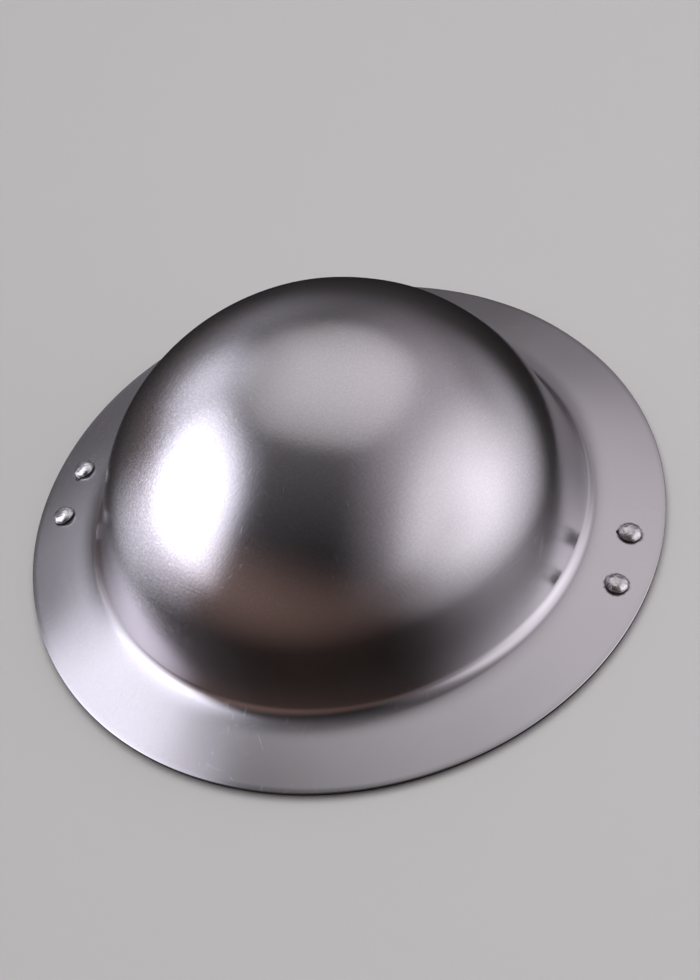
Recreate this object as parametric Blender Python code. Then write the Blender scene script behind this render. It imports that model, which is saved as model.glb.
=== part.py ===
# Buckler shield: a domed steel bowl with a sloping rim, raised from one sheet, and a folded
# steel grip fixed across its back by two pairs of round-head rivets.
#
# The shield lies as it is put down, dome up (+Z), with the grip along X. The origin is on the
# ground under the middle of the disc. Lengths are metres and angles are degrees.

import math

import bmesh
import bpy
import numpy as np
from mathutils import Matrix, Vector

# Bowl: heights count from the upper edge of the rim's outline
RIM_RADIUS = 0.130
SHEET = 0.0020
RIM_SLOPE = 12.4                      # the rim falls outwards
EDGE_CHAMFER = 0.0004
DOME_RADIUS = 0.730 * RIM_RADIUS      # half width of the ellipse that the dome follows
DOME_RISE = 0.666 * RIM_RADIUS        # half height of that ellipse
DOME_CENTRE = 0.0724 * RIM_RADIUS     # height of its middle
WALL_SLOPE = 71.5                     # where the dome passes into the wall
FLARE_SLOPE = 68.8                    # where the wall meets the crease
CREASE_SLOPE = 20.0                   # where the crease runs out on to the rim
CREASE_FOOT = 0.795 * RIM_RADIUS
CREASE_RADIUS = 0.058 * RIM_RADIUS
EASE_REACH = 0.056 * RIM_RADIUS       # the rim takes up its own slope over this width
BOWL_SIDES = 72
DOME_STEPS = 12
WALL_STEPS = 2
CREASE_STEPS = 4
EASE_STEPS = 2

# Rivets: two at each end of the grip
RIVET_REACH = 0.900 * RIM_RADIUS      # from the middle of the shield, along the grip
RIVET_PITCH = 0.0248
GRIP_OFFSET = -0.0054                 # the grip sits a little off the middle
HEAD_RADIUS = 0.0044
HEAD_HEIGHT = 0.0029
SHANK_RADIUS = 0.0025
TAIL_RADIUS = 0.0040
TAIL_HEIGHT = 0.0011
RIVET_SIDES = 20
GAP = 0.0003                          # between pieces that touch

# Grip: one strap, flat at its ends and rolled into a channel where the hand holds it
STRAP_WIDTH = 0.040
STRAP_THICKNESS = 0.0018
STRAP_END = 0.125                     # from the middle of the shield to the strap's end
STRAP_CORNER = 0.007
STRAP_BEND_AT = 0.0985                # the end tabs bend down from the level middle here
STRAP_BEND_RADIUS = 0.012
CHANNEL_RADIUS = 0.0125
CHANNEL_HALF = 0.052                  # half length of the fully rolled part
CHANNEL_FADE = 0.032                  # length over which it opens out flat
STRAP_ROWS = 14


def slope_normal(angle):
    """Outward direction (radius, height) of a surface that falls outwards at this angle."""
    return math.sin(angle), math.cos(angle)


def wall_curve(top, foot, steps):
    """Rows of a cubic between two (radius, height, slope) rows that is tangent to both."""
    first, last = Vector(top[:2]), Vector(foot[:2])
    chord = (last - first).length
    leave, arrive = (Vector((math.cos(slope), -math.sin(slope))) * chord for slope in (top[2], foot[2]))
    rows = []
    for step in range(1, steps + 1):
        t = step / steps
        place = ((2 * t**3 - 3 * t**2 + 1) * first + (t**3 - 2 * t**2 + t) * leave
                 + (3 * t**2 - 2 * t**3) * last + (t**3 - t**2) * arrive)
        heading = ((6 * t**2 - 6 * t) * (first - last) + (3 * t**2 - 4 * t + 1) * leave
                   + (3 * t**2 - 2 * t) * arrive)
        rows.append((place.x, place.y, math.atan2(-heading.y, heading.x)))
    return rows


def rim_row(radius):
    """The rim's row at this radius: a cone, a little steeper beside the crease."""
    cone, steeper = math.tan(math.radians(RIM_SLOPE)), math.tan(math.radians(CREASE_SLOPE))
    left = max(1 - (radius - CREASE_FOOT) / EASE_REACH, 0.0)
    height = (RIM_RADIUS - radius) * cone + (steeper - cone) * EASE_REACH / 3 * left**3
    return radius, height, math.atan(cone + (steeper - cone) * left**2)


def bowl_outer_curve():
    """Radius, height and slope along the outer face, from the pole down to the rim's edge."""
    wall, flare, run_out = (math.radians(slope) for slope in (WALL_SLOPE, FLARE_SLOPE, CREASE_SLOPE))

    # The dome's ellipse ends where it is as steep as the wall
    curve = []
    start = math.atan2(DOME_RISE * math.cos(wall), DOME_RADIUS * math.sin(wall))
    for step in range(DOME_STEPS + 1):
        turn = math.pi / 2 + (start - math.pi / 2) * step / DOME_STEPS
        radius, height = DOME_RADIUS * math.cos(turn), DOME_CENTRE + DOME_RISE * math.sin(turn)
        slope = math.atan2(DOME_RISE * math.cos(turn), DOME_RADIUS * math.sin(turn))
        curve.append((radius if step else 0.0, height, slope))

    # The crease is an arc that ends at its foot on the rim
    crease = []
    foot_height = rim_row(CREASE_FOOT)[1]
    for step in range(CREASE_STEPS + 1):
        slope = flare + (run_out - flare) * step / CREASE_STEPS
        crease.append((CREASE_FOOT - CREASE_RADIUS * (math.sin(slope) - math.sin(run_out)),
                       foot_height + CREASE_RADIUS * (math.cos(run_out) - math.cos(slope)), slope))
    curve += wall_curve(curve[-1], crease[0], WALL_STEPS) + crease[1:]

    curve += [rim_row(CREASE_FOOT + EASE_REACH * step / EASE_STEPS) for step in range(1, EASE_STEPS + 1)]
    curve.append(rim_row(RIM_RADIUS))
    return curve


def bowl_outline():
    """The sheet's section: down the outer face, round the rim's edge and up the inner face."""
    curve = bowl_outer_curve()
    outer = [Vector((radius, height)) for radius, height, slope in curve]
    inner = []
    for radius, height, slope in curve:
        out, up = slope_normal(slope)
        inner.append(Vector((max(radius - SHEET * out, 0.0), height - SHEET * up)))
    inner[0].x = 0.0

    # Both corners of the edge are broken
    along = (outer[-1] - outer[-2]).normalized() * EDGE_CHAMFER
    across = (inner[-1] - outer[-1]).normalized() * EDGE_CHAMFER
    edge = [outer[-1] - along, outer[-1] + across, inner[-1] - across, inner[-1] - along]
    return outer[:-1] + edge + inner[-2::-1]


def turned_mesh(name, outline, sides):
    """A closed solid of revolution about Z from an outline that starts and ends on the axis."""
    mesh = bmesh.new()
    rings = []
    for point in outline:
        if point.x < 1e-9:
            rings.append([mesh.verts.new((0.0, 0.0, point.y))])
            continue
        turns = [2 * math.pi * side / sides for side in range(sides)]
        rings.append([mesh.verts.new((point.x * math.cos(t), point.x * math.sin(t), point.y)) for t in turns])
    for upper, lower in zip(rings, rings[1:]):
        for side in range(sides):
            after = (side + 1) % sides
            corners = [upper[side % len(upper)], lower[side % len(lower)],
                       lower[after % len(lower)], upper[after % len(upper)]]
            mesh.faces.new(list(dict.fromkeys(corners)))
    bmesh.ops.recalc_face_normals(mesh, faces=mesh.faces)
    data = bpy.data.meshes.new(name)
    mesh.to_mesh(data)
    mesh.free()
    return data


def make_material(name, colour, roughness):
    """A bare metal finish."""
    material = bpy.data.materials.new(name)
    material.use_nodes = True
    shader = material.node_tree.nodes["Principled BSDF"]
    shader.inputs["Base Color"].default_value = (*colour, 1.0)
    shader.inputs["Metallic"].default_value = 1.0
    shader.inputs["Roughness"].default_value = roughness
    material.diffuse_color = (*colour, 1.0)
    return material


def add_object(name, data, material, parent):
    """Put a mesh in the scene as one round-shaded piece."""
    data.materials.append(material)
    data.shade_smooth()
    data.set_sharp_from_angle(angle=math.radians(35))
    piece = bpy.data.objects.new(name, data)
    piece.parent = parent
    bpy.context.scene.collection.objects.link(piece)
    return piece


def rivet_frames():
    """Name and placement of each rivet: local Z is square to the rim, from its upper face."""
    rise = (RIM_RADIUS - RIVET_REACH) * math.tan(math.radians(RIM_SLOPE))
    frames = {}
    for end, sign in (("left", -1), ("right", 1)):
        tilt = Matrix.Rotation(math.radians(sign * RIM_SLOPE), 4, "Y")
        for row, shift in (("front", -0.5), ("back", 0.5)):
            y = GRIP_OFFSET + shift * RIVET_PITCH
            place = Matrix.Translation((sign * RIVET_REACH, y, rise - rim_fall_at(y)))
            frames[f"rivet_{end}_{row}"] = place @ tilt
    return frames


def rim_fall_at(y):
    """How far the rim's cone has dropped this far to the side of the rivets' reach."""
    beyond = math.hypot(RIVET_REACH, y) - RIVET_REACH
    return beyond * math.tan(math.radians(RIM_SLOPE))


def tab_drop():
    """Distance square to the rim, from its upper face at the grip's line to the tab's middle."""
    widest = abs(GRIP_OFFSET) + STRAP_WIDTH / 2
    return rim_fall_at(widest) + SHEET + GAP + STRAP_THICKNESS / 2


def rivet_outline():
    """Round head, shank and low peened tail, down the outer side."""
    tail_top = -(tab_drop() + STRAP_THICKNESS / 2 + GAP)
    outline = []
    steps = 5
    for step in range(steps + 1):
        turn = math.pi / 2 * step / steps
        outline.append(Vector((HEAD_RADIUS * math.sin(turn), GAP + HEAD_HEIGHT * math.cos(turn))))
    outline.append(Vector((SHANK_RADIUS, GAP)))
    outline.append(Vector((SHANK_RADIUS, tail_top)))
    outline.append(Vector((TAIL_RADIUS, tail_top)))
    for step in range(1, 4):
        turn = math.pi / 2 * step / 3
        outline.append(Vector((TAIL_RADIUS * math.cos(turn), tail_top - TAIL_HEIGHT * math.sin(turn))))
    outline[0].x = 0.0
    outline[-1].x = 0.0
    return outline


def strap_bend_reach():
    """Half the length along X over which the strap bends from level to the rim's slope."""
    return STRAP_BEND_RADIUS * math.tan(math.radians(RIM_SLOPE) / 2) * 2


def strap_stations():
    """Where the strap's cross rows stand along X: closer in the bends and round the corners."""
    bend = strap_bend_reach()
    turns = np.linspace(0.0, math.pi / 2, 6)
    half = np.concatenate([
        np.linspace(0.0, CHANNEL_HALF, 5),
        np.linspace(CHANNEL_HALF, CHANNEL_HALF + CHANNEL_FADE, 10)[1:],
        np.linspace(STRAP_BEND_AT - bend, STRAP_BEND_AT + bend, 4),
        STRAP_END - STRAP_CORNER * (1 - np.sin(turns)),
    ])
    return np.concatenate([-half[:0:-1], half])


def strap_line(x):
    """Height and slope of the strap's middle along X: level over the mouth, falling under the rim."""
    fall = math.tan(math.radians(RIM_SLOPE))
    rise = (RIM_RADIUS - RIVET_REACH) * fall
    tab_at_reach = rise - tab_drop() / math.cos(math.radians(RIM_SLOPE))
    level = tab_at_reach + (RIVET_REACH - STRAP_BEND_AT) * fall
    # The two lines are blended over the bend's own length
    reach = strap_bend_reach()
    blend = np.clip((np.abs(x) - STRAP_BEND_AT) / (2 * reach) + 0.5, 0.0, 1.0)
    tab_line = level + (STRAP_BEND_AT - np.abs(x)) * fall
    height = np.where(blend >= 1.0, tab_line, level - fall * reach * blend ** 2)
    return height, -np.sign(x) * fall * blend


def strap_mesh():
    """The grip: a strap's middle surface, curled across its width, thickened to both sides."""
    stations = strap_stations()
    x = stations[:, None] + np.zeros((len(stations), STRAP_ROWS))
    past = np.clip(np.abs(x) - (STRAP_END - STRAP_CORNER), 0.0, STRAP_CORNER)
    half_width = STRAP_WIDTH / 2 - STRAP_CORNER + np.sqrt(STRAP_CORNER ** 2 - past ** 2)
    across = np.linspace(-1.0, 1.0, STRAP_ROWS)[None, :] * half_width

    # Curl: 1 where the hand holds it, easing to 0 at the flat ends. An arc of this turn over
    # the distance across goes sideways by sin(turn) / turn of it and up by half turn * (chord) ** 2
    fade = np.clip((CHANNEL_HALF + CHANNEL_FADE - np.abs(x)) / CHANNEL_FADE, 0.0, 1.0)
    turn = across * fade * fade * (3 - 2 * fade) / CHANNEL_RADIUS
    height, slope = strap_line(x)
    y = GRIP_OFFSET + across * np.sinc(turn / math.pi)
    z = height + across * turn / 2 * np.sinc(turn / (2 * math.pi)) ** 2

    middle = np.stack([x, y, z], axis=-1)
    normal = np.cross(np.gradient(middle, axis=0), np.gradient(middle, axis=1))
    flat = np.stack([-slope, np.zeros_like(x), np.ones_like(x)], axis=-1)
    normal = np.where(fade[..., None] > 0.0, normal, flat)
    normal /= np.linalg.norm(normal, axis=-1, keepdims=True)
    upper = middle + normal * STRAP_THICKNESS / 2
    lower = middle - normal * STRAP_THICKNESS / 2
    return shell_mesh("grip", upper, lower)


def shell_mesh(name, upper, lower):
    """A closed solid between two grids of points."""
    mesh = bmesh.new()
    top = [[mesh.verts.new(point) for point in row] for row in upper.tolist()]
    bottom = [[mesh.verts.new(point) for point in row] for row in lower.tolist()]
    rows, columns = len(top), len(top[0])
    for i in range(rows - 1):
        for j in range(columns - 1):
            mesh.faces.new((top[i][j], top[i + 1][j], top[i + 1][j + 1], top[i][j + 1]))
            mesh.faces.new((bottom[i][j], bottom[i][j + 1], bottom[i + 1][j + 1], bottom[i + 1][j]))
    rim = [(i, 0) for i in range(rows)] + [(rows - 1, j) for j in range(1, columns)]
    rim += [(i, columns - 1) for i in range(rows - 2, -1, -1)] + [(0, j) for j in range(columns - 2, 0, -1)]
    for (i, j), (k, m) in zip(rim, rim[1:] + rim[:1]):
        mesh.faces.new((top[i][j], bottom[i][j], bottom[k][m], top[k][m]))
    bmesh.ops.recalc_face_normals(mesh, faces=mesh.faces)
    data = bpy.data.meshes.new(name)
    mesh.to_mesh(data)
    mesh.free()
    return data


def hole_cutter(frames, parent):
    """The rivet holes, as one guide object that both the bowl and the grip are cut by."""
    mesh = bmesh.new()
    for frame in frames.values():
        centre = Matrix.Translation((0.0, 0.0, -tab_drop() / 2))
        bmesh.ops.create_cone(mesh, cap_ends=True, segments=RIVET_SIDES, radius1=SHANK_RADIUS + GAP,
                              radius2=SHANK_RADIUS + GAP, depth=6 * SHEET, matrix=frame @ centre)
    data = bpy.data.meshes.new("rivet_holes")
    mesh.to_mesh(data)
    mesh.free()
    cutter = bpy.data.objects.new("rivet_holes", data)
    cutter.parent = parent
    cutter.hide_render = True
    cutter.display_type = "WIRE"
    bpy.context.scene.collection.objects.link(cutter)
    return cutter


def cut(piece, cutter):
    """Cut the rivet holes out of a piece."""
    holes = piece.modifiers.new("rivet_holes", "BOOLEAN")
    holes.operation = "DIFFERENCE"
    holes.solver = "EXACT"
    holes.object = cutter


def ground_height(frames, outline):
    """Lowest point of the rivets' tails, which the shield rests on."""
    tail = [Vector((point.x, 0.0, point.y)) for point in outline]
    mirrored = [Vector((-point.x, 0.0, point.z)) for point in tail]
    return min((frame @ point).z for frame in frames.values() for point in tail + mirrored)


def build():
    for old in list(bpy.data.objects):
        bpy.data.objects.remove(old, do_unlink=True)

    frames = rivet_frames()
    outline = rivet_outline()
    shield = bpy.data.objects.new("shield", None)
    shield.location.z = -ground_height(frames, outline)
    bpy.context.scene.collection.objects.link(shield)

    sheet_steel = make_material("satin_steel", (0.62, 0.61, 0.63), 0.27)
    grip_steel = make_material("grip_steel", (0.55, 0.54, 0.55), 0.38)
    rivet_steel = make_material("rivet_steel", (0.60, 0.59, 0.60), 0.30)

    bowl = add_object("bowl", turned_mesh("bowl", bowl_outline(), BOWL_SIDES), sheet_steel, shield)
    grip = add_object("grip", strap_mesh(), grip_steel, shield)
    cutter = hole_cutter(frames, shield)
    cut(bowl, cutter)
    cut(grip, cutter)

    rivet = turned_mesh("rivet", outline, RIVET_SIDES)
    for name, frame in frames.items():
        piece = add_object(name, rivet.copy(), rivet_steel, shield)
        piece.matrix_local = frame


build()
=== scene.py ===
# Buckler shield in satin polished steel: a domed bowl with a sloping rim, raised from one
# sheet, four peened rivets near its edge and the folded grip that they hold across the back.
# Lengths are metres and angles are degrees. +Z is up through the dome and +X is along the grip.

import math

import bpy
import numpy as np
from mathutils import Matrix, Vector


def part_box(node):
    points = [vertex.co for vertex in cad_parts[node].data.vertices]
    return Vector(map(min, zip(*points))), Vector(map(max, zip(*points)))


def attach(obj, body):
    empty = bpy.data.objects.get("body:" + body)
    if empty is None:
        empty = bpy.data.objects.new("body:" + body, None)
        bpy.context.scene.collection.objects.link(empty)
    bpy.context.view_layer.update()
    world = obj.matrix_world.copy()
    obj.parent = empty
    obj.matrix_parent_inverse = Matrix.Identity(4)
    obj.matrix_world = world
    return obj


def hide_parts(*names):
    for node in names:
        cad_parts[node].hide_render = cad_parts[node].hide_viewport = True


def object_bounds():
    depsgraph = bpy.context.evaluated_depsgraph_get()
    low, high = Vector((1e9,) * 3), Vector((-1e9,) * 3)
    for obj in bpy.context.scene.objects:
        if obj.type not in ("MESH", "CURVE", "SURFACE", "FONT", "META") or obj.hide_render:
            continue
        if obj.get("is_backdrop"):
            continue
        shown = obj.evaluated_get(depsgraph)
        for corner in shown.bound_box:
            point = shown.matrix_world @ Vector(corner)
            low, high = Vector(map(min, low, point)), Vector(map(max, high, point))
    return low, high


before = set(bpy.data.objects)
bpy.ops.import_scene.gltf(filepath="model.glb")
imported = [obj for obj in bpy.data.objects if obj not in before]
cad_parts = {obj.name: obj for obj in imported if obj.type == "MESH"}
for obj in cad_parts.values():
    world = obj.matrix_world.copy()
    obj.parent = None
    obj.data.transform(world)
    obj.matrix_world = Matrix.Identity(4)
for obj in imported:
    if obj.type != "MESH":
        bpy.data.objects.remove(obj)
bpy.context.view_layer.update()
print("frame loaded:", sorted(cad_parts))


def closedTurnedMesh(name, points):
    # points[i, j] runs from one pole (row 0) to the other (last row), round the axis in j.
    # Faces are (i, j), (i + 1, j), (i + 1, j + 1), (i, j + 1); each pole row becomes one vertex
    rows, sides = points.shape[:2]
    rings = points[1:-1].reshape(-1, 3)
    vertices = np.concatenate([points[:1].mean(axis=1), rings, points[-1:].mean(axis=1)])
    index = 1 + np.arange((rows - 2) * sides).reshape(rows - 2, sides)
    after = np.roll(index, -1, axis=1)
    quads = np.stack([index[:-1], index[1:], after[1:], after[:-1]], axis=-1).reshape(-1, 4)
    first = np.stack([np.zeros(sides, int), index[0], after[0]], axis=-1)
    last = np.stack([np.full(sides, len(vertices) - 1), after[-1], index[-1]], axis=-1)
    mesh = bpy.data.meshes.new(name)
    mesh.from_pydata(vertices.tolist(), [], quads.tolist() + first.tolist() + last.tolist())
    return mesh


def addAttribute(mesh, name, values):
    # values[i, j] has the layout of the points: a pole, the rings between, the other pole
    width = values.shape[-1]
    flat = np.concatenate([values[:1, :1].reshape(1, -1), values[1:-1].reshape(-1, width),
                           values[-1:, :1].reshape(1, -1)])
    kind, field = ("FLOAT_VECTOR", "vector") if width == 3 else ("FLOAT", "value")
    made = mesh.attributes.new(name, kind, "POINT")
    made.data.foreach_set(field, flat.astype(np.float32).ravel())


def addPiece(name, mesh, material, node, sharpAngle):
    mesh.materials.append(material)
    mesh.shade_smooth()
    mesh.set_sharp_from_angle(angle=math.radians(sharpAngle))
    piece = bpy.data.objects.new(name, mesh)
    bpy.context.scene.collection.objects.link(piece)
    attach(piece, "root")
    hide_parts(node)
    return piece


def swell(points, depth, lengths, seed):
    # Gentle unevenness: the sum of sine waves in random directions, one for each wavelength
    rng = np.random.default_rng(seed)
    total = np.zeros(points.shape[:-1])
    for length in lengths:
        direction = rng.normal(size=3)
        direction *= 2 * math.pi / length / np.linalg.norm(direction)
        total += length / max(lengths) * np.sin(points @ direction + rng.uniform(0, 2 * math.pi))
    return depth * total


def feed(tree, value, socket):
    if isinstance(value, bpy.types.NodeSocket):
        tree.links.new(value, socket)
    else:
        socket.default_value = value


def maths(tree, operation, *values, clamp=False):
    node = tree.nodes.new("ShaderNodeMath")
    node.operation = operation
    node.use_clamp = clamp
    for value, socket in zip(values, node.inputs):
        feed(tree, value, socket)
    return node.outputs[0]


def vectorMaths(tree, operation, first, second=None, scale=None):
    node = tree.nodes.new("ShaderNodeVectorMath")
    node.operation = operation
    feed(tree, first, node.inputs[0])
    if second is not None:
        feed(tree, second, node.inputs[1])
    if scale is not None:
        feed(tree, scale, node.inputs["Scale"])
    return node.outputs["Value" if operation in ("LENGTH", "DISTANCE", "DOT_PRODUCT") else "Vector"]


def remap(tree, value, low, high, newLow=0.0, newHigh=1.0):
    node = tree.nodes.new("ShaderNodeMapRange")
    node.interpolation_type = "SMOOTHSTEP"
    for made, socket in zip((value, low, high, newLow, newHigh), node.inputs):
        feed(tree, made, socket)
    return node.outputs["Result"]


def mixColour(tree, share, first, second, blend="MIX"):
    node = tree.nodes.new("ShaderNodeMix")
    node.data_type = "RGBA"
    node.blend_type = blend
    feed(tree, share, node.inputs["Factor"])
    feed(tree, first, node.inputs["A"])
    feed(tree, second, node.inputs["B"])
    return node.outputs["Result"]


def noise(tree, vector, scale, detail, roughness=0.5, dimensions="3D"):
    node = tree.nodes.new("ShaderNodeTexNoise")
    node.noise_dimensions = dimensions
    feed(tree, vector, node.inputs["Vector"])
    node.inputs["Scale"].default_value = scale
    node.inputs["Detail"].default_value = detail
    node.inputs["Roughness"].default_value = roughness
    return node.outputs[0]


def turned(tree, vector, angle):
    node = tree.nodes.new("ShaderNodeVectorRotate")
    node.rotation_type = "Z_AXIS"
    feed(tree, vector, node.inputs["Vector"])
    feed(tree, angle, node.inputs["Angle"])
    return node.outputs["Vector"]


def split(tree, vector):
    node = tree.nodes.new("ShaderNodeSeparateXYZ")
    feed(tree, vector, node.inputs[0])
    return node.outputs


def joined(tree, x, y, z):
    node = tree.nodes.new("ShaderNodeCombineXYZ")
    for value, socket in zip((x, y, z), node.inputs):
        feed(tree, value, socket)
    return node.outputs[0]


def newGroup(name, inputs, output):
    group = bpy.data.node_groups.new(name, "ShaderNodeTree")
    for label, value in inputs.items():
        kind = "NodeSocketVector" if isinstance(value, tuple) else "NodeSocketFloat"
        socket = group.interface.new_socket(name=label, in_out="INPUT", socket_type=kind)
        socket.default_value = value
    group.interface.new_socket(name=output, in_out="OUTPUT", socket_type="NodeSocketFloat")
    given = group.nodes.new("NodeGroupInput").outputs
    made = group.nodes.new("NodeGroupOutput").inputs[output]
    return group, given, made


def place(tree, group, **values):
    node = tree.nodes.new("ShaderNodeGroup")
    node.node_tree = group
    for label, value in values.items():
        feed(tree, value, node.inputs[label])
    return node.outputs


def makePolishGroup():
    # Abrasive haze: noise stretched along one direction, so its streaks are long and hair thin
    group, given, made = newGroup(
        "polish streaks",
        {"Vector": (0, 0, 0), "Angle": 0.0, "Length": 0.01, "Width": 0.0004}, "Streak")
    wanderScale, wanderDepth = 60.0, 0.0016
    along = split(group, turned(group, given["Vector"], given["Angle"]))
    wander = noise(group, given["Vector"], wanderScale, 1.0)
    wander = maths(group, "MULTIPLY", wander, wanderDepth)
    across = maths(group, "ADD", along["Y"], wander)
    stretched = joined(group, maths(group, "DIVIDE", along["X"], given["Length"]),
                       maths(group, "DIVIDE", across, given["Width"]), 0.0)
    streak = noise(group, stretched, 1.0, 2.0, 0.6, "2D")
    group.links.new(remap(group, streak, 0.35, 0.68), made)
    return group


def makeTurnedLinesGroup():
    # Fine lines round the middle: noise read at (direction * turn, radius / width), so that each
    # line is a thin arc, with a slow wander that keeps the arcs from being true circles
    group, given, made = newGroup(
        "turned lines", {"Vector": (0, 0, 0), "Turn": 7.0, "Width": 0.0003}, "Line")
    wanderScale, wanderDepth = 38.0, 0.006
    flat = vectorMaths(group, "MULTIPLY", given["Vector"], (1.0, 1.0, 0.0))
    wander = maths(group, "MULTIPLY", noise(group, flat, wanderScale, 1.0), wanderDepth)
    radius = maths(group, "ADD", vectorMaths(group, "LENGTH", flat), wander)
    facing = vectorMaths(group, "NORMALIZE", flat)
    facing = vectorMaths(group, "SCALE", facing, scale=given["Turn"])
    rings = joined(group, 0.0, 0.0, maths(group, "DIVIDE", radius, given["Width"]))
    line = noise(group, vectorMaths(group, "ADD", facing, rings), 1.0, 2.0, 0.6)
    group.links.new(remap(group, line, 0.32, 0.70), made)
    return group


def makeScratchGroup():
    # Single scratches: each cell of a random net holds one short line at its own angle
    group, given, made = newGroup(
        "single scratches",
        {"Vector": (0, 0, 0), "Cell": 0.01, "Width": 0.02, "Length": 0.4, "Share": 0.5}, "Mark")
    perCell = maths(group, "DIVIDE", 1.0, given["Cell"])
    scaled = vectorMaths(group, "SCALE", given["Vector"], scale=perCell)
    net = group.nodes.new("ShaderNodeTexVoronoi")
    net.voronoi_dimensions = "2D"
    group.links.new(scaled, net.inputs["Vector"])
    net.inputs["Scale"].default_value = 1.0
    chance = split(group, net.outputs["Color"])
    local = vectorMaths(group, "SUBTRACT", scaled, net.outputs["Position"])
    line = split(group, turned(group, local, maths(group, "MULTIPLY", chance["X"], math.pi)))
    bow = maths(group, "MULTIPLY", maths(group, "MULTIPLY", line["X"], line["X"]),
                maths(group, "SUBTRACT", chance["Y"], 0.5))
    offset = maths(group, "ABSOLUTE", maths(group, "ADD", line["Y"], bow))
    across = remap(group, offset, 0.0, given["Width"], 1.0, 0.0)
    reach = maths(group, "ABSOLUTE", line["X"])
    full = maths(group, "MULTIPLY", given["Length"], 0.3)
    along = remap(group, reach, full, given["Length"], 1.0, 0.0)
    there = maths(group, "LESS_THAN", chance["Z"], given["Share"])
    mark = maths(group, "MULTIPLY", maths(group, "MULTIPLY", across, along), there)
    group.links.new(mark, made)
    return group


def makeSeatGroup():
    # Dark dirt and painted shade round a fixing: fades with the distance from its point, with a
    # ragged edge
    group, given, made = newGroup(
        "seat dirt and shade",
        {"Vector": (0, 0, 0), "Point": (0, 0, 0), "Inner": 0.0044, "Outer": 0.0056}, "Dirt")
    raggedScale, raggedDepth = 700.0, 0.0016
    ragged = maths(group, "SUBTRACT", noise(group, given["Vector"], raggedScale, 2.0), 0.5)
    ragged = maths(group, "MULTIPLY", ragged, raggedDepth)
    away = vectorMaths(group, "DISTANCE", given["Vector"], given["Point"])
    away = maths(group, "ADD", away, ragged)
    group.links.new(remap(group, away, given["Inner"], given["Outer"], 1.0, 0.0), made)
    return group


polishGroup = makePolishGroup()
turnedLinesGroup = makeTurnedLinesGroup()
scratchGroup = makeScratchGroup()
seatGroup = makeSeatGroup()


def metalMaterial(name):
    material = bpy.data.materials.new(name)
    material.use_nodes = True
    tree = material.node_tree
    shader = tree.nodes["Principled BSDF"]
    shader.inputs["Metallic"].default_value = 1.0
    return material, tree, shader


def addBump(tree, shader, height, distance):
    bump = tree.nodes.new("ShaderNodeBump")
    bump.inputs["Distance"].default_value = distance
    tree.links.new(height, bump.inputs["Height"])
    tree.links.new(bump.outputs["Normal"], shader.inputs["Normal"])


def readAttribute(tree, name, output="Fac"):
    node = tree.nodes.new("ShaderNodeAttribute")
    node.attribute_name = name
    return node.outputs[output]


def objectPlace(tree):
    return tree.nodes.new("ShaderNodeTexCoord").outputs["Object"]


bowlForm = {
    "sheet": 0.0020,
    "rimSlope": 12.4, "wallSlope": 71.5, "flareSlope": 68.8, "creaseSlope": 20.0,
    "domeRadius": 0.730,         # these six are shares of the rim's radius
    "domeRise": 0.666, "domeCentre": 0.0724,
    "creaseFoot": 0.795, "creaseRadius": 0.058, "easeReach": 0.056,
    "edgeRound": 0.00045,
    "sides": 340, "sharpAngle": 50,
    "domeRows": 84, "wallRows": 16, "creaseRows": 16, "easeRows": 10, "rimRows": 10, "edgeRows": 5,
    "swellDepth": 0.00010, "swellFade": 0.02, "swellSeed": 11,
    "swellLengths": (0.115, 0.082, 0.061, 0.047, 0.036),
    "brimFrom": 0.70, "brimReach": 0.04,     # where the finish changes, in shares of the
    "neckAt": 0.772, "neckReach": 0.03,      # rim's radius
}


def cubicBetween(top, foot, rows):
    # Radius, height and slope along a cubic from top to foot, tangent to both, each of which is
    # a radius, a height and a slope: weights 2t^3-3t^2+1 and 3t^2-2t^3 on the ends, and
    # t^3-2t^2+t and t^3-t^2 on their tangents
    t = np.linspace(0, 1, rows + 1)[1:]
    chord = math.hypot(foot[0] - top[0], foot[1] - top[1])
    lines = []
    for first, last, leave, arrive in ((top[0], foot[0], math.cos(top[2]), math.cos(foot[2])),
                                       (top[1], foot[1], -math.sin(top[2]), -math.sin(foot[2]))):
        along = ((2 * t**3 - 3 * t**2 + 1) * first + (3 * t**2 - 2 * t**3) * last
                 + chord * ((t**3 - 2 * t**2 + t) * leave + (t**3 - t**2) * arrive))
        heading = ((6 * t**2 - 6 * t) * (first - last)
                   + chord * ((3 * t**2 - 4 * t + 1) * leave + (3 * t**2 - 2 * t) * arrive))
        lines.append((along, heading))
    (radius, outwards), (height, upwards) = lines
    return np.stack([radius, height, np.arctan2(-upwards, outwards)])


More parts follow.
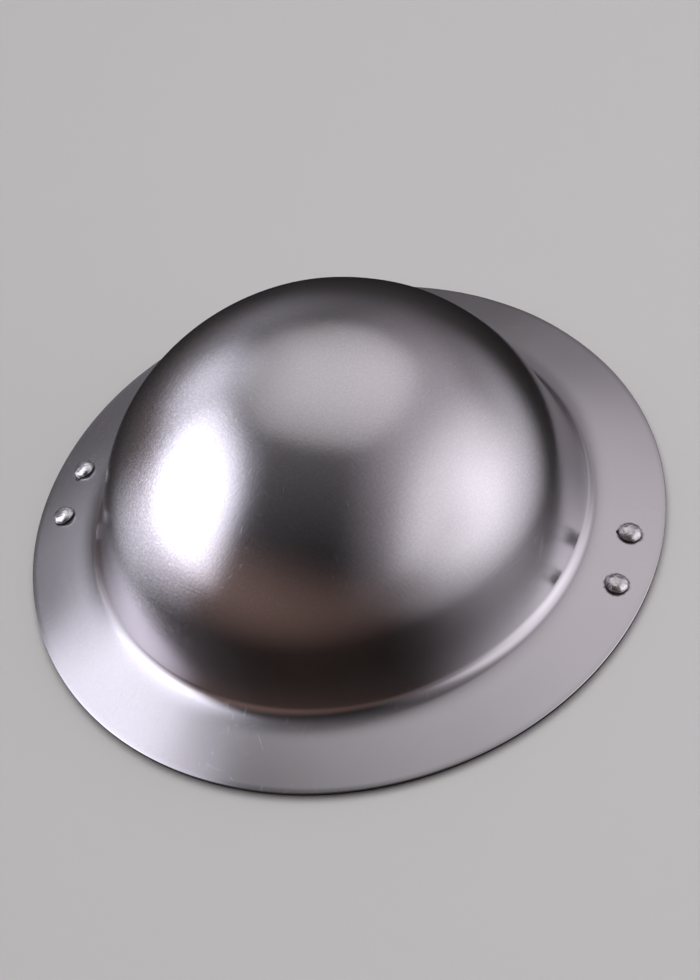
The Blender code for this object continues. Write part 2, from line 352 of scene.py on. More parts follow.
def outerFace(form, rimRadius):
    # Radius, height and slope down the outer face: a quarter ellipse, a flaring wall, a crease
    # and the rim. Height 0 is the rim's edge
    rim, wall, flare, runOut = (math.radians(form[name]) for name in
                                ("rimSlope", "wallSlope", "flareSlope", "creaseSlope"))
    halfWidth, rise, centre, crease, foot, reach = (
        form[name] * rimRadius for name in
        ("domeRadius", "domeRise", "domeCentre", "creaseRadius", "creaseFoot", "easeReach"))

    start = math.atan2(rise * math.cos(wall), halfWidth * math.sin(wall))
    turn = np.linspace(math.pi / 2, start, form["domeRows"])
    dome = np.stack([halfWidth * np.cos(turn), centre + rise * np.sin(turn),
                     np.arctan2(rise * np.cos(turn), halfWidth * np.sin(turn))])
    dome[0, 0] = 0.0

    # The rim is a cone whose slope grows towards the crease by the square of what is left of
    # the reach, so its height grows by a third of the cube
    lipEnd = rimRadius - form["edgeRound"] / math.cos(rim)
    radius = np.concatenate([np.linspace(foot, foot + reach, form["easeRows"] + 1),
                             np.linspace(foot + reach, lipEnd, form["rimRows"] + 1)[1:]])
    left = np.clip(1 - (radius - foot) / reach, 0, 1)
    steeper = math.tan(runOut) - math.tan(rim)
    cone = np.stack([radius, (rimRadius - radius) * math.tan(rim) + steeper * reach / 3 * left**3,
                     np.arctan(math.tan(rim) + steeper * left**2)])

    # The crease is an arc whose slope turns from the wall's foot to the rim
    slope = np.linspace(flare, runOut, form["creaseRows"] + 1)
    arc = np.stack([foot - crease * (np.sin(slope) - math.sin(runOut)),
                    cone[1, 0] + crease * (math.cos(runOut) - np.cos(slope)), slope])
    join = cubicBetween(dome[:, -1], arc[:, 0], form["wallRows"])
    return np.concatenate([dome, join, arc[:, 1:], cone[:, 1:]], axis=1)


def edgeProfile(form, rimRadius):
    # Round the sheet's edge: a quarter turn over each corner, square to the rim's slope
    rim, soft, sheet = math.radians(form["rimSlope"]), form["edgeRound"], form["sheet"]
    along, up = np.array([math.cos(rim), -math.sin(rim)]), np.array([math.sin(rim), math.cos(rim)])
    corner = np.array([rimRadius, 0.0])
    turn = np.linspace(0, math.pi / 2, form["edgeRows"] + 1)[:, None]
    upper = corner - soft * (along + up) + soft * (np.cos(turn) * up + np.sin(turn) * along)
    lower = (corner - sheet * up + soft * (up - along)
             + soft * (np.cos(turn) * along - np.sin(turn) * up))
    return np.concatenate([upper[1:], lower[:-1]])


def makeBowlMesh(form, low, high):
    rimRadius = (high.x - low.x) / 2
    radius, height, slope = outerFace(form, rimRadius)
    rimEdge = high.z - height[0]
    height += rimEdge
    edge = edgeProfile(form, rimRadius) + np.array([0.0, rimEdge])

    # The inner face is the outer one moved in by the sheet's thickness, back up to the pole
    innerRadius = np.maximum(radius - form["sheet"] * np.sin(slope), 0.0)[::-1]
    innerHeight = (height - form["sheet"] * np.cos(slope))[::-1]
    rimAngle = math.radians(form["rimSlope"])
    profileRadius = np.concatenate([radius, edge[:, 0], innerRadius])
    profileHeight = np.concatenate([height, edge[:, 1], innerHeight])
    profileSlope = np.concatenate([slope, np.full(len(edge), rimAngle), slope[::-1]])

    turn = np.linspace(0, 2 * math.pi, form["sides"], endpoint=False)
    around = np.stack([np.cos(turn), np.sin(turn), 0 * turn], axis=-1)[None]
    upwards = np.array([0.0, 0.0, 1.0])
    points = profileRadius[:, None, None] * around + profileHeight[:, None, None] * upwards
    normals = (np.sin(profileSlope)[:, None, None] * around
               + np.cos(profileSlope)[:, None, None] * upwards)
    # The unevenness follows the outer face, so the sheet keeps its thickness
    outerPoints = points.copy()
    outerPoints[-len(slope):] = points[:len(slope)][::-1]
    fade = np.clip(profileRadius / form["swellFade"], 0, 1)[:, None]
    wave = swell(outerPoints, form["swellDepth"], form["swellLengths"], form["swellSeed"]) * fade
    points += wave[..., None] * normals
    mesh = closedTurnedMesh("shieldBowl", points)

    # Distance along the sheet from its middle, laid out flat: the coordinates of the polish
    steps = np.hypot(np.diff(profileRadius), np.diff(profileHeight))
    walked = np.concatenate([[0.0], np.cumsum(steps)])
    fromMiddle = np.minimum(walked, walked[-1] - walked)
    inside = (np.arange(len(profileRadius)) >= len(radius) + len(edge) // 2).astype(float)
    flow = fromMiddle[:, None, None] * around + inside[:, None, None] * upwards
    addAttribute(mesh, "flow", flow)
    share = profileRadius / rimRadius
    brim = np.clip((share - form["brimFrom"]) / form["brimReach"], 0, 1)
    neck = np.clip(1 - np.abs(share - form["neckAt"]) / form["neckReach"], 0, 1)
    for name, values in (("inside", inside), ("brim", brim), ("neck", neck)):
        addAttribute(mesh, name, values[:, None, None] * np.ones((1, form["sides"], 1)))
    return mesh


bowlFinish = {
    "light": (0.640, 0.625, 0.650, 1.0), "dark": (0.590, 0.575, 0.600, 1.0),
    "insideColour": (0.36, 0.345, 0.35, 1.0), "dirtShadeColour": (0.05, 0.045, 0.045, 1.0),
    "scratchAndGlintColour": (0.80, 0.79, 0.82, 1.0),
    "roughness": 0.155, "lineRoughness": 0.035, "brimRoughness": 0.015, "neckRoughness": -0.04,
    "cloudRoughness": 0.03, "scratchRoughness": 0.05, "insideRoughness": 0.42,
    "dirtRoughness": 0.35,
    "lines": {"Turn": 7.0, "Width": 0.00032}, "lineShare": 0.4,
    "crossAngles": (0.65, -0.9), "crossing": {"Length": 0.009, "Width": 0.00036}, "crossShare": 0.4,
    "short": {"Cell": 0.0052, "Width": 0.016, "Length": 0.42, "Share": 0.30},
    "long": {"Cell": 0.017, "Width": 0.006, "Length": 0.45, "Share": 0.30},
    "longShift": (0.31, 0.17, 0.0),
    "cloudScale": 11.0, "stainScale": 45.0,
    "pebbleScale": 900.0, "pebbleDepth": 0.052, "scratchDepth": 0.008, "strokeShare": 0.4,
    "speckScale": 1400.0, "speckPolish": 0.2, "speckFrom": 0.48, "speckTo": 0.85,
    "markTint": 0.15, "dirtShadeTint": 0.75,
    "brimGrain": 0.15, "plainGrain": 0.25, "grainFrom": -0.005, "grainTo": -0.062,
    "bump": 0.001,               # a height of 1 is a millimetre
}


def makeBowlMaterial(finish, rivetPoints):
    material, tree, shader = metalMaterial("satinSteel")
    flow = readAttribute(tree, "flow", "Vector")
    coordinates = objectPlace(tree)
    inside, brim, neck = (readAttribute(tree, name) for name in ("inside", "brim", "neck"))

    # Polish: arcs round the dome and two weaker sets of crossing strokes
    arcs = place(tree, turnedLinesGroup, Vector=flow, **finish["lines"])["Line"]
    strokes = [place(tree, polishGroup, Vector=flow, Angle=angle, **finish["crossing"])["Streak"]
               for angle in finish["crossAngles"]]
    crossed = maths(tree, "MULTIPLY", maths(tree, "ADD", *strokes), finish["crossShare"])
    polish = maths(tree, "MULTIPLY_ADD", arcs, finish["lineShare"], crossed)
    short = place(tree, scratchGroup, Vector=flow, **finish["short"])["Mark"]
    shifted = vectorMaths(tree, "ADD", flow, finish["longShift"])
    longer = place(tree, scratchGroup, Vector=shifted, **finish["long"])["Mark"]
    marks = maths(tree, "MAXIMUM", short, longer)

    cloud = remap(tree, noise(tree, coordinates, finish["cloudScale"], 3.0, 0.55), 0.3, 0.7)
    # The pebble grain and the strokes are strongest on the dome's -X side and weak below it
    onDome = remap(tree, brim, 0.0, 1.0, 1.0, finish["brimGrain"])
    side = remap(tree, split(tree, coordinates)["X"], finish["grainTo"], finish["grainFrom"],
                 1.0, finish["plainGrain"])
    share = maths(tree, "MULTIPLY", onDome, side)
    pebble = noise(tree, coordinates, finish["pebbleScale"], 1.5, 0.6)
    grain = maths(tree, "MULTIPLY_ADD", polish, finish["strokeShare"], pebble)
    grain = maths(tree, "MULTIPLY", grain, share)

    # Painted glints, bright specks where the grain would catch the light, then the scratches, then
    # dirt and painted shade round the rivets
    colour = mixColour(tree, cloud, finish["dark"], finish["light"])
    paintedGlints = maths(tree, "MULTIPLY_ADD", polish, finish["speckPolish"],
                  noise(tree, coordinates, finish["speckScale"], 1.0))
    paintedGlints = remap(tree, paintedGlints, finish["speckFrom"], finish["speckTo"])
    dirtAndShade = 0.0
    # Dirt and painted shade: a dark ring on the steel round the foot of each rivet's head
    for point in rivetPoints:
        near = place(tree, seatGroup, Vector=coordinates, Point=tuple(point))["Dirt"]
        dirtAndShade = maths(tree, "MAXIMUM", near, dirtAndShade)
    for mask, strength, tint in ((paintedGlints, share, "scratchAndGlintColour"),
                                 (marks, finish["markTint"], "scratchAndGlintColour"),
                                 (dirtAndShade, finish["dirtShadeTint"], "dirtShadeColour")):
        colour = mixColour(tree, maths(tree, "MULTIPLY", mask, strength), colour, finish[tint])
    stains = remap(tree, noise(tree, coordinates, finish["stainScale"], 4.0, 0.6), 0.35, 0.7)
    insideColour = mixColour(tree, stains, finish["insideColour"], finish["dark"])
    tree.links.new(mixColour(tree, inside, colour, insideColour), shader.inputs["Base Color"])

    rough = finish["roughness"]
    for mask, change in ((polish, "lineRoughness"), (marks, "scratchRoughness"),
                         (neck, "neckRoughness"), (brim, "brimRoughness"),
                         (cloud, "cloudRoughness"), (dirtAndShade, "dirtRoughness")):
        rough = maths(tree, "MULTIPLY_ADD", mask, finish[change], rough)
    duller = maths(tree, "SUBTRACT", finish["insideRoughness"], rough)
    tree.links.new(maths(tree, "MULTIPLY_ADD", inside, duller, rough), shader.inputs["Roughness"])

    # The height: the pebble grain with the strokes in it, less the scratches
    height = maths(tree, "MULTIPLY", grain, finish["pebbleDepth"])
    height = maths(tree, "MULTIPLY_ADD", marks, -finish["scratchDepth"], height)
    addBump(tree, shader, height, finish["bump"])
    return material


rivetForm = {
    "reach": 0.900,              # share of the rim's radius
    "headRadius": 0.0044, "headHeight": 0.0031, "headTurn": 116.0,
    "shankRadius": 0.0025, "tailRadius": 0.0040, "tailHeight": 0.0011, "gripStack": 0.00455,
    "sides": 96, "headRows": 44, "tailRows": 14, "sharpAngle": 55,
    "flats": 5, "flatDepth": 0.045, "flatCentring": 0.8,
    "tailFlats": 6, "tailFlatDepth": 0.12, "tailFlatCentring": 0.6,
    "seat": 0.00008, "burrHeight": 0.0005,
    "waveDepth": 0.00003, "waveLengths": (0.0031, 0.0019, 0.0013),
    "headSeed": 21, "tailSeed": 71,
}
# Each burr is a lip of metal squeezed out at the seat: the way it points, its reach and its width
rivetBurrs = {
    "rivet_left_back": (-108, 0.0021, 17), "rivet_left_front": (-120, 0.0007, 22),
    "rivet_right_back": (187, 0.0015, 14), "rivet_right_front": (20, 0.0002, 30),
}


def hammered(unit, count, depth, centring, seed):
    # Flats left by the hammer: a point past one of the random planes is drawn most of the way
    # back to it. A higher centring brings the planes nearer to the pole
    pull, furthest = 0.85, math.radians(80)
    rng = np.random.default_rng(seed)
    made = unit.copy()
    for _ in range(count):
        away = rng.uniform(0.1, 1.0) ** centring * furthest
        turn = rng.uniform(0, 2 * math.pi)
        facing = np.array([math.sin(away) * math.cos(turn), math.sin(away) * math.sin(turn),
                           math.cos(away)])
        past = np.maximum(made @ facing - (1 - depth * rng.uniform(0.4, 1.3)), 0.0)
        made -= pull * past[..., None] * facing
    return made


def roundCap(lean, turn):
    # Points of a unit ball: a row for each lean from its pole, a column for each turn
    return np.stack([np.sin(lean) * np.cos(turn), np.sin(lean) * np.sin(turn),
                     np.cos(lean) + 0 * turn], axis=-1)


def makeRivetMesh(name, form, placement, burr, number):
    # A round head that turns back in to its seat, the shank and the peened tail, about local Z
    turn = np.linspace(0, 2 * math.pi, form["sides"], endpoint=False)
    lean = np.linspace(0, math.radians(form["headTurn"]), form["headRows"])[:, None]
    dome = hammered(roundCap(lean, turn), form["flats"], form["flatDepth"], form["flatCentring"],
                    form["headSeed"] + number)
    # The ball's lowest row is the seat, so its height is squeezed to run from there to the top
    lowest = math.cos(math.radians(form["headTurn"]))
    raised = (dome[..., 2] - lowest) / (1 - lowest)
    head = np.stack([form["headRadius"] * dome[..., 0], form["headRadius"] * dome[..., 1],
                     form["headHeight"] * raised - form["seat"]], axis=-1)
    wave = swell(head, form["waveDepth"], form["waveLengths"], form["headSeed"] + number)
    head += wave[..., None] * dome
    head[..., 2] = np.maximum(head[..., 2], -form["seat"])

    # The burr pushes the foot of the head outwards in a bell of its own width, none at the top
    heading, reach, width = burr
    off = (np.degrees(turn) - heading + 180) % 360 - 180
    lip = reach * np.exp(-(off / width) ** 2) * np.exp(-(head[..., 2] / form["burrHeight"]) ** 2)
    head[..., 0] += lip * np.cos(turn)
    head[..., 1] += lip * np.sin(turn)

    tailTop = -form["gripStack"]
    around = np.stack([np.cos(turn), np.sin(turn), 0 * turn], axis=-1)[None]
    shank = np.concatenate([around * form["shankRadius"] + np.array([0, 0, height])
                            for height in (-form["seat"], tailTop)])
    lean = np.linspace(math.pi / 2, 0, form["tailRows"])[:, None]
    tail = hammered(roundCap(lean, turn), form["tailFlats"], form["tailFlatDepth"],
                    form["tailFlatCentring"], form["tailSeed"] + number)
    tail *= np.array([form["tailRadius"], form["tailRadius"], -form["tailHeight"]])
    tail[..., 2] += tailTop
    points = np.concatenate([head, shank, tail])
    # How far each point stands off the steel that it bears on, as a share of its own end's height
    rise = np.concatenate([head[..., 2:] / form["headHeight"], 0 * shank[..., 2:],
                           (tailTop - tail[..., 2:]) / form["tailHeight"]])
    points = points @ np.array(placement.to_3x3()).T + np.array(placement.translation)
    mesh = closedTurnedMesh(name, points)
    addAttribute(mesh, "rise", rise)
    return mesh


rivetFinish = {
    "light": (0.86, 0.845, 0.87, 1.0), "dark": (0.56, 0.545, 0.555, 1.0),
    "dirtShadeColour": (0.03, 0.027, 0.026, 1.0), "dirtShadeTint": 0.92,
    "dirtShadeLow": 0.14, "dirtShadeHigh": 0.42, "dirtShadeRagged": 0.35,     # shares of the head's height
    "roughness": 0.19, "patchRoughness": 0.12, "dirtRoughness": 0.3,
    "marks": {"Cell": 0.0018, "Width": 0.07, "Length": 0.45, "Share": 0.6},
    "patchScale": 520.0, "dentScale": 800.0, "dentDepth": 0.06, "markDepth": 0.012, "bump": 0.001,
}


def makeRivetMaterial(finish):
    material, tree, shader = metalMaterial("rivetSteel")
    coordinates = objectPlace(tree)
    patches = noise(tree, coordinates, finish["patchScale"], 3.0, 0.6)
    marks = place(tree, scratchGroup, Vector=coordinates, **finish["marks"])["Mark"]
    colour = mixColour(tree, remap(tree, patches, 0.3, 0.65), finish["dark"], finish["light"])
    # Dirt and painted shade darken the foot of each end, where it bears on the steel, with a ragged
    # top
    ragged = maths(tree, "MULTIPLY_ADD", maths(tree, "SUBTRACT", patches, 0.5),
                   finish["dirtShadeRagged"], readAttribute(tree, "rise"))
    dirtAndShade = remap(tree, ragged, finish["dirtShadeLow"], finish["dirtShadeHigh"], 1.0, 0.0)
    colour = mixColour(tree, maths(tree, "MULTIPLY", dirtAndShade, finish["dirtShadeTint"]), colour,
                       finish["dirtShadeColour"])
    tree.links.new(colour, shader.inputs["Base Color"])
    rough = maths(tree, "MULTIPLY_ADD", patches, finish["patchRoughness"], finish["roughness"])
    rough = maths(tree, "MULTIPLY_ADD", dirtAndShade, finish["dirtRoughness"], rough)
    tree.links.new(rough, shader.inputs["Roughness"])
    dents = noise(tree, coordinates, finish["dentScale"], 1.0, 0.5)
    height = maths(tree, "MULTIPLY", dents, finish["dentDepth"])
    height = maths(tree, "MULTIPLY_ADD", marks, -finish["markDepth"], height)
    addBump(tree, shader, height, finish["bump"])
    return material


gripForm = {
    "width": 0.040, "thickness": 0.0018, "end": 0.125, "corner": 0.007, "offset": -0.0054,
    "bendAt": 0.0985, "bendRadius": 0.012, "slope": 12.4, "sharpAngle": 60,
    "channelRadius": 0.0125, "channelHalf": 0.052, "channelFade": 0.032,
    "stations": 260, "crowding": 0.35, "acrossRows": 36, "edgeRows": 6,
    "leastEnd": 0.02,            # the end's least thickness, as a share
}


def makeGripMesh(form, low):
    # A strap carried along X: its section is a thin closed loop with round edges, curled to the
    # channel's radius in the middle, and its line is level, then falls with the rim
    fall = math.tan(math.radians(form["slope"]))
    reach = form["bendRadius"] * math.tan(math.radians(form["slope"]) / 2) * 2
    # The stations crowd together a little towards both ends
    share = np.linspace(-1, 1, form["stations"])
    crowded, even = form["end"] * np.sin(share * math.pi / 2), form["end"] * share
    x = form["crowding"] * crowded + (1 - form["crowding"]) * even
    past = np.clip((np.abs(x) - (form["end"] - form["corner"])) / form["corner"], 0, 1)
    halfWidth = form["width"] / 2 - form["corner"] + form["corner"] * np.sqrt(1 - past ** 2)
    blend = np.clip((np.abs(x) - form["bendAt"]) / (2 * reach) + 0.5, 0, 1)
    line = np.where(blend >= 1, (form["bendAt"] - np.abs(x)) * fall, -fall * reach * blend ** 2)
    slope = -np.sign(x) * fall * blend
    # The ends of the tabs are the lowest of the strap: that sets its height
    half = form["thickness"] / 2
    line += low.z + half * math.cos(math.radians(form["slope"])) - line.min()
    left = form["channelHalf"] + form["channelFade"] - np.abs(x)
    fade = np.clip(left / form["channelFade"], 0, 1)
    fade = fade * fade * (3 - 2 * fade)

    # Section loop: along the top, round one edge, back along the bottom, round the other
    flat = np.linspace(-1, 1, form["acrossRows"])
    arc = np.linspace(math.pi / 2, -math.pi / 2, form["edgeRows"] + 2)[1:-1]
    atEnd = np.clip((np.abs(x) - (form["end"] - half)) / half, 0, 1)
    endRound = np.sqrt(np.clip(1 - atEnd ** 2, form["leastEnd"] ** 2, 1))
    section = np.concatenate([np.stack([flat, 0 * flat, 1 + 0 * flat], -1),
                              np.stack([1 + 0 * arc, np.cos(arc), np.sin(arc)], -1),
                              np.stack([flat[::-1], 0 * flat, -1 + 0 * flat], -1),
                              np.stack([-1 + 0 * arc, -np.cos(arc), -np.sin(arc)], -1)])
    across = section[None, :, 0] * (halfWidth - half)[:, None]
    turn = across * fade[:, None] / form["channelRadius"]
    sideways = section[None, :, 1] * half
    lift = section[None, :, 2] * half * endRound[:, None]
    # Along a circle of the channel's radius: sin(turn) / turn across, (1 - cos(turn)) / turn up
    y = (form["offset"] + across * np.sinc(turn / math.pi)
         + sideways * np.cos(turn) - lift * np.sin(turn))
    rise = (across * turn / 2 * np.sinc(turn / (2 * math.pi)) ** 2
            + sideways * np.sin(turn) + lift * np.cos(turn))
    # Only the flat stretches lean with the line
    tilt = np.where(fade > 0, 0.0, np.arctan(slope))[:, None]
    points = np.stack([x[:, None] - rise * np.sin(tilt), y,
                       line[:, None] + rise * np.cos(tilt)], axis=-1)
    flow = np.stack([x[:, None] + 0 * across, across, 0 * across], axis=-1)
    firstMiddle, lastMiddle = (row.mean(axis=1, keepdims=True) + 0 * row
                               for row in (points[:1], points[-1:]))
    mesh = closedTurnedMesh("handGrip", np.concatenate([firstMiddle, points, lastMiddle]))
    addAttribute(mesh, "flow", np.concatenate([flow[:1], flow, flow[-1:]]))
    return mesh


gripFinish = {
    "light": (0.56, 0.545, 0.555, 1.0), "dark": (0.38, 0.365, 0.37, 1.0),
    "markColour": (0.7, 0.69, 0.7, 1.0), "markTint": 0.3,
    "roughness": 0.26, "hazeRoughness": 0.25, "cloudRoughness": 0.08,
    "lengthwise": {"Angle": 0.04, "Length": 0.02, "Width": 0.0005},
    "crosswise": {"Angle": 1.45, "Length": 0.008, "Width": 0.0004},
    "marks": {"Cell": 0.009, "Width": 0.03, "Length": 0.45, "Share": 0.6},
    "cloudScale": 60.0, "markDepth": 0.8, "bump": 0.00001,
}


def makeGripMaterial(finish):
    material, tree, shader = metalMaterial("gripSteel")
    flow = readAttribute(tree, "flow", "Vector")
    strokes = [place(tree, polishGroup, Vector=flow, **finish[way])["Streak"]
               for way in ("lengthwise", "crosswise")]
    haze = maths(tree, "MULTIPLY", maths(tree, "ADD", *strokes), 0.5)
    marks = place(tree, scratchGroup, Vector=flow, **finish["marks"])["Mark"]
    cloud = noise(tree, objectPlace(tree), finish["cloudScale"], 4.0, 0.6)
    colour = mixColour(tree, remap(tree, cloud, 0.3, 0.7), finish["dark"], finish["light"])
    colour = mixColour(tree, maths(tree, "MULTIPLY", marks, finish["markTint"]), colour,
                       finish["markColour"])
    tree.links.new(colour, shader.inputs["Base Color"])
    rough = maths(tree, "MULTIPLY_ADD", haze, finish["hazeRoughness"], finish["roughness"])
    rough = maths(tree, "MULTIPLY_ADD", cloud, finish["cloudRoughness"], rough)
    tree.links.new(rough, shader.inputs["Roughness"])
    addBump(tree, shader, maths(tree, "MULTIPLY_ADD", marks, -finish["markDepth"], haze),
            finish["bump"])
    return material


bowlLow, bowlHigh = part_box("bowl")
gripLow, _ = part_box("grip")
rimRadius = (bowlHigh.x - bowlLow.x) / 2
rimEdgeHeight = bowlHigh.z - outerFace(bowlForm, rimRadius)[1][0]
rimFall = math.tan(math.radians(bowlForm["rimSlope"]))

rivetPlacements = {}
for node in ("rivet_left_front", "rivet_left_back", "rivet_right_front", "rivet_right_back"):
    low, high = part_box(node)
    side = 1 if low.x > 0 else -1
    y = (low.y + high.y) / 2
    x = side * rivetForm["reach"] * rimRadius
    z = rimEdgeHeight + (rimRadius - math.hypot(x, y)) * rimFall
    rivetPlacements[node] = (Matrix.Translation((x, y, z))
                             @ Matrix.Rotation(math.radians(side * bowlForm["rimSlope"]), 4, "Y"))

satinSteel = makeBowlMaterial(bowlFinish, [m.translation for m in rivetPlacements.values()])
addPiece("shieldBowl", makeBowlMesh(bowlForm, bowlLow, bowlHigh), satinSteel,
         "bowl", bowlForm["sharpAngle"])
print("bowl made")

rivetSteel = makeRivetMaterial(rivetFinish)
for number, (node, placement) in enumerate(rivetPlacements.items()):
    words = node.split("_")
    name = words[0] + "".join(word.capitalize() for word in words[1:])
    mesh = makeRivetMesh(name, rivetForm, placement, rivetBurrs[node], number)
    addPiece(name, mesh, rivetSteel, node, rivetForm["sharpAngle"])
print("rivets made")

gripSteel = makeGripMaterial(gripFinish)
addPiece("handGrip", makeGripMesh(gripForm, gripLow), gripSteel,
         "grip", gripForm["sharpAngle"])
print("grip made")


# Directions are an azimuth, 0 at the front, -Y, and 90 at +X, then an elevation. Edges are shares
# of a panel's half size or of a glow's reach
studio = {
    "centre": Vector((0.0, 0.0, 0.045)),
    "floor": {"radius": 2.4, "coveRadius": 1.2, "wallTop": 3.0,
              "sides": 96, "rows": 12, "coveRows": 16,
              "colour": (0.70, 0.69, 0.685, 1.0), "speckColour": (0.5, 0.49, 0.48, 1.0),
              "speckScale": 900.0, "speckShare": 0.06, "roughness": 0.9, "specular": 0.1},
    "fill": {"size": 2.4, "height": 2.0, "energy": 19.0},
    "nearest": 0.5,              # a panel closer than this would burn the floor
    "panels": {
        "leftSoftbox": {"facing": (-63.5, 32), "distance": 0.285, "size": (0.52, 0.30), "roll": -39,
                        "radiance": 1.25, "colour": (1.0, 0.98, 1.09), "edge": 0.58, "corner": 1.6,
                        "fall": 0.40},
        "leftFill": {"facing": (-109, 33), "distance": 0.245, "size": (0.28, 0.235), "roll": 0,
                     "radiance": 0.84, "colour": (1.0, 0.98, 1.10), "edge": 0.90, "corner": 2.0,
                     "fall": 0.05},
        "rightSoftbox": {"facing": (91.5, 23), "distance": 0.90, "size": (2.46, 1.30), "roll": 0,
                         "radiance": 0.62, "colour": (0.98, 0.945, 1.0), "edge": 0.64,
                         "corner": 1.6, "fall": 0.95},
        "backPanel": {"facing": (-169, 60), "distance": 1.30, "size": (2.21, 1.93), "roll": -57,
                      "radiance": 0.61, "colour": (1.0, 0.97, 0.99), "edge": 0.21, "corner": 1.6,
                      "fall": 0.95},
    },
    "roomLow": (0.009, 0.007, 0.0065, 1.0), "roomHigh": (0.002, 0.002, 0.002, 1.0),
    "roomFade": (0.05, 0.45),
    "glows": {
        "overhead": {"facing": (186, 64), "reach": (109, 52), "edge": 0.95,
                     "tone": (0.140, 0.130, 0.138)},
        "frontWarmth": {"facing": (-34, 10), "reach": (58, 18), "edge": 0.95,
                        "tone": (0.158, 0.101, 0.085)},
        "leftGlow": {"facing": (-74, 20.5), "reach": (19.5, 27), "edge": 0.8,
                     "tone": (1.44, 1.42, 1.62)},
        "leftTail": {"facing": (-89.5, -19), "reach": (12, 14), "edge": 0.8,
                     "tone": (0.50, 0.49, 0.55)},
        "backGlow": {"facing": (-141, 9), "reach": (17, 12), "edge": 0.9,
                     "tone": (0.150, 0.145, 0.163)},
        "rightHalo": {"facing": (109, 38), "reach": (55, 28), "edge": 0.6,
                      "tone": (0.372, 0.340, 0.368)},
        "rightCore": {"facing": (102.5, 19), "reach": (13, 9), "edge": 0.9,
                      "tone": (0.305, 0.285, 0.315)},
        "rightLow": {"facing": (104, -3.5), "reach": (40, 14.5), "edge": 0.8,
                     "tone": (0.80, 0.77, 0.83)},
    },
}


def fromAngles(azimuth, elevation):
    # The unit vector that points that way
    a, e = math.radians(azimuth), math.radians(elevation)
    return Vector((math.sin(a) * math.cos(e), -math.cos(a) * math.cos(e), math.sin(e)))


def makePanelFace():
    # The face of a soft light: away = (|x|^corner + |y|^corner)^(1 / corner) from its middle, full
    # inside and fading over the edge, with a slow fall from the middle outwards
    group, given, made = newGroup(
        "panel face", {"Place": (0, 0, 0), "Corner": 2.0, "Edge": 0.2, "Fall": 0.2}, "Strength")
    at = split(group, given["Place"])
    powers = []
    for value in (at["X"], at["Y"]):
        size = maths(group, "ABSOLUTE", maths(group, "MULTIPLY_ADD", value, 2.0, -1.0))
        powers.append(maths(group, "POWER", size, given["Corner"]))
    root = maths(group, "DIVIDE", 1.0, given["Corner"])
    away = maths(group, "POWER", maths(group, "ADD", *powers), root)
    lit = remap(group, away, maths(group, "SUBTRACT", 1.0, given["Edge"]), 1.0, 1.0, 0.0)
    fallen = maths(group, "MULTIPLY", given["Fall"], maths(group, "MULTIPLY", away, away))
    slow = maths(group, "SUBTRACT", 1.0, fallen)
    group.links.new(maths(group, "MULTIPLY", lit, slow, clamp=True), made)
    return group


def addLight(name, shape, size, energy):
    data = bpy.data.lights.new(name, "AREA")
    data.shape = shape
    data.size = size
    data.energy = energy
    light = bpy.data.objects.new(name, data)
    light.visible_camera = False
    bpy.context.scene.collection.objects.link(light)
    return light


def addPanel(name, panel, face):
    width, height = panel["size"]
    light = addLight(name, "RECTANGLE", width, panel["radiance"] * math.pi * width * height)
    light.data.size_y = height
    light.data.color = panel["colour"]
    light.data.use_nodes = True
    tree = light.data.node_tree
    at = tree.nodes.new("ShaderNodeNewGeometry").outputs["Parametric"]
    strength = place(tree, face, Place=at, Corner=panel["corner"], Edge=panel["edge"],
                     Fall=panel["fall"])["Strength"]
    tree.links.new(strength, tree.nodes["Emission"].inputs["Strength"])
    away = fromAngles(*panel["facing"])
    light.location = studio["centre"] + away * panel["distance"]
    light.rotation_mode = "QUATERNION"
    rolled = Matrix.Rotation(math.radians(panel["roll"]), 3, "Z").to_quaternion()
    light.rotation_quaternion = away.to_track_quat("Z", "Y") @ rolled
    light.visible_diffuse = panel["distance"] > studio["nearest"]


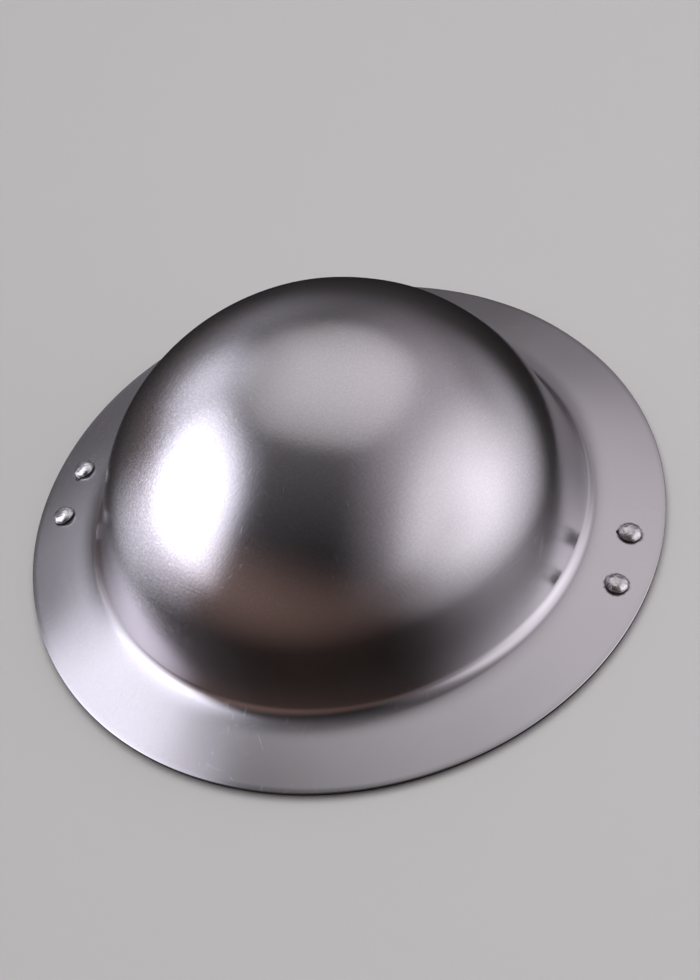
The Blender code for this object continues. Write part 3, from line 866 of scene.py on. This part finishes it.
def makeStudioFloor(form):
    # A round floor that sweeps up into a wall: height is 0, then a quarter circle, then straight
    lean = np.linspace(0, math.pi / 2, form["coveRows"])
    flat = np.linspace(0, form["radius"], form["rows"])[1:]
    wallRadius = form["radius"] + form["coveRadius"]
    radius = np.concatenate([flat, form["radius"] + form["coveRadius"] * np.sin(lean[1:]),
                             [wallRadius]])
    height = np.concatenate([0 * flat, form["coveRadius"] * (1 - np.cos(lean[1:])),
                             [form["wallTop"]]])
    turn = np.linspace(0, 2 * math.pi, form["sides"], endpoint=False)
    points = np.stack([radius[:, None] * np.cos(turn), radius[:, None] * np.sin(turn),
                       height[:, None] + 0 * turn], axis=-1)
    rows, sides = points.shape[:2]
    index = np.arange(rows * sides).reshape(rows, sides)
    after = np.roll(index, -1, axis=1)
    quads = np.stack([index[:-1], index[1:], after[1:], after[:-1]], axis=-1).reshape(-1, 4)
    middle = [index[0].tolist()]
    mesh = bpy.data.meshes.new("studioFloor")
    mesh.from_pydata(points.reshape(-1, 3).tolist(), [], quads.tolist() + middle)
    mesh.shade_smooth()
    material = bpy.data.materials.new("paleFloor")
    material.use_nodes = True
    tree = material.node_tree
    shader = tree.nodes["Principled BSDF"]
    specks = noise(tree, objectPlace(tree), form["speckScale"], 2.0)
    tone = mixColour(tree, maths(tree, "MULTIPLY", specks, form["speckShare"]), form["colour"],
                     form["speckColour"])
    tree.links.new(tone, shader.inputs["Base Color"])
    shader.inputs["Roughness"].default_value = form["roughness"]
    shader.inputs["Specular IOR Level"].default_value = form["specular"]
    mesh.materials.append(material)
    floor = bpy.data.objects.new("studioFloor", mesh)
    floor.visible_glossy = False
    bpy.context.scene.collection.objects.link(floor)
    floor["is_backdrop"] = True


def makeGlow():
    # A soft oval of light in the room: away is the distance from the facing direction on an
    # equal-area map, 2 sin(angle / 2), measured in the oval's own half width and half height
    group, given, made = newGroup(
        "soft glow",
        {"Direction": (0, 0, 1), "Facing": (0, 0, 1), "Across": (1, 0, 0), "Upwards": (0, 1, 0),
         "Width": 1.0, "Height": 1.0, "Edge": 0.5}, "Share")
    # The small extra keeps the division finite straight behind
    forward = vectorMaths(group, "DOT_PRODUCT", given["Direction"], given["Facing"])
    spread = maths(group, "SQRT", maths(group, "DIVIDE", 2.0, maths(group, "ADD", forward, 1.0001)))
    parts = []
    for axis, size in (("Across", "Width"), ("Upwards", "Height")):
        part = vectorMaths(group, "DOT_PRODUCT", given["Direction"], given[axis])
        part = maths(group, "MULTIPLY", part, spread)
        parts.append(maths(group, "DIVIDE", part, given[size]))
    away = vectorMaths(group, "LENGTH", joined(group, parts[0], parts[1], 0.0))
    share = remap(group, away, maths(group, "SUBTRACT", 1.0, given["Edge"]),
                  maths(group, "ADD", 1.0, given["Edge"]), 1.0, 0.0)
    group.links.new(share, made)
    return group


def makeRoom():
    # The room that the steel mirrors: dim and warm low down, with a few soft glows
    world = bpy.data.worlds.new("studioRoom")
    world.use_nodes = True
    tree = world.node_tree
    direction = tree.nodes.new("ShaderNodeTexCoord").outputs["Generated"]
    height = split(tree, direction)["Z"]
    raised = remap(tree, height, *studio["roomFade"])
    tone = mixColour(tree, raised, studio["roomLow"], studio["roomHigh"])
    glowGroup = makeGlow()
    for glow in studio["glows"].values():
        facing = fromAngles(*glow["facing"])
        across = Vector((0, 0, 1)).cross(facing).normalized()
        width, tall = (2 * math.sin(math.radians(reach) / 2) for reach in glow["reach"])
        share = place(tree, glowGroup, Direction=direction, Facing=facing, Across=across,
                      Upwards=facing.cross(across), Width=width, Height=tall, Edge=glow["edge"])
        tone = mixColour(tree, share["Share"], tone, (*glow["tone"], 1.0), "ADD")
    tree.links.new(tone, tree.nodes["Background"].inputs["Color"])
    bpy.context.scene.world = world


def addOverheadFill(fill):
    # Lights the floor evenly and is left out of the reflections
    light = addLight("overheadFill", "DISK", fill["size"], fill["energy"])
    light.location = (0.0, 0.0, fill["height"])
    light.visible_glossy = False


makeStudioFloor(studio["floor"])
makeRoom()
panelFace = makePanelFace()
for name, panel in studio["panels"].items():
    addPanel(name, panel, panelFace)
addOverheadFill(studio["fill"])
print("studio lit")

# The camera looks at its aim from the facing direction, and is rolled about its own axis
viewpoint = {
    "aim": (0.0154, -0.0165, 0.045),
    "facing": (28.34, 49.30), "distance": 0.886, "roll": -15.7,
    "lens": 84.5, "sensor": 36.0,
}

cameraData = bpy.data.cameras.new("mainCamera")
cameraData.lens = viewpoint["lens"]
cameraData.sensor_width = viewpoint["sensor"]
mainCamera = bpy.data.objects.new("mainCamera", cameraData)
back = fromAngles(*viewpoint["facing"])
across = Vector((0, 0, 1)).cross(back).normalized()
upright = Matrix((across, back.cross(across), back)).transposed().to_4x4()
station = Vector(viewpoint["aim"]) + back * viewpoint["distance"]
mainCamera.matrix_world = (Matrix.Translation(station) @ upright
                           @ Matrix.Rotation(math.radians(viewpoint["roll"]), 4, "Z"))
bpy.context.scene.collection.objects.link(mainCamera)
bpy.context.scene.camera = mainCamera
bpy.context.scene.view_settings.view_transform = "Standard"

low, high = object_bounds()
